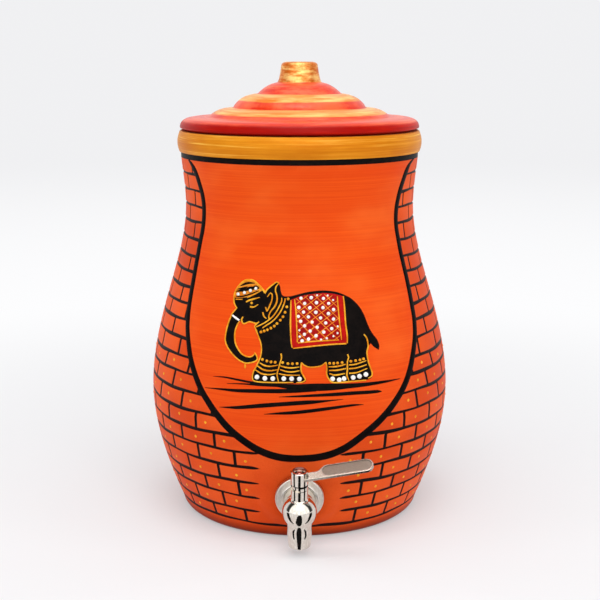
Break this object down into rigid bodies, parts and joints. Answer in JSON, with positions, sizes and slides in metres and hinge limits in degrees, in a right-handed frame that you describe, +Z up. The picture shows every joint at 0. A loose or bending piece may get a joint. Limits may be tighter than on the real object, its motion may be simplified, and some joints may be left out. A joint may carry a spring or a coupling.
{
  "type": "water pot with tap",
  "caption": "Round-bellied clay water pot with a stepped domed lid and knob, painted brickwork round an arched panel, and a metal lever tap low on the front.",
  "frame": {"origin": "centre of the pot's flat base, on the surface it stands on", "axes": "+Z up, the tap faces -Y, and the tap's lever points to +X when shut"},
  "size_m": [0.25, 0.273, 0.3723],
  "materials": {
    "painted_clay": "satin brushed paint on fired clay",
    "painted_clay_lid": "satin brushed paint on fired clay",
    "polished_steel": "polished",
    "plain_steel": "turned",
    "black_rubber": "matte",
    "white_plastic": "matte"
  },
  "bodies": {
    "pot": {"clay_pot": "painted_clay", "tap_body": "polished_steel", "outer_seal": "black_rubber", "inner_seal": "black_rubber", "flat_washer": "plain_steel", "lock_nut": "plain_steel", "inlet_seat": "white_plastic", "top_washer": "white_plastic"},
    "tap_handle": {"valve_rotor": "plain_steel", "thrust_washer": "white_plastic", "lower_stem_ring": "black_rubber", "upper_stem_ring": "black_rubber", "handle_cap": "polished_steel", "handle_lever": "polished_steel", "handle_screw": "polished_steel"},
    "lid": {"clay_lid": "painted_clay_lid"}
  },
  "joints": [
    {"name": "handle_turn", "type": "hinge", "parent": "pot", "child": "tap_handle", "pos_m": [0, -0.13472, 0.03659], "axis": [0, 0.1736, -0.9848], "range_deg": [0, 90]},
    {"name": "lid_lift", "type": "slide", "parent": "pot", "child": "lid", "axis": [0, 0, 1], "range_m": [0, 0.15]}
  ]
}
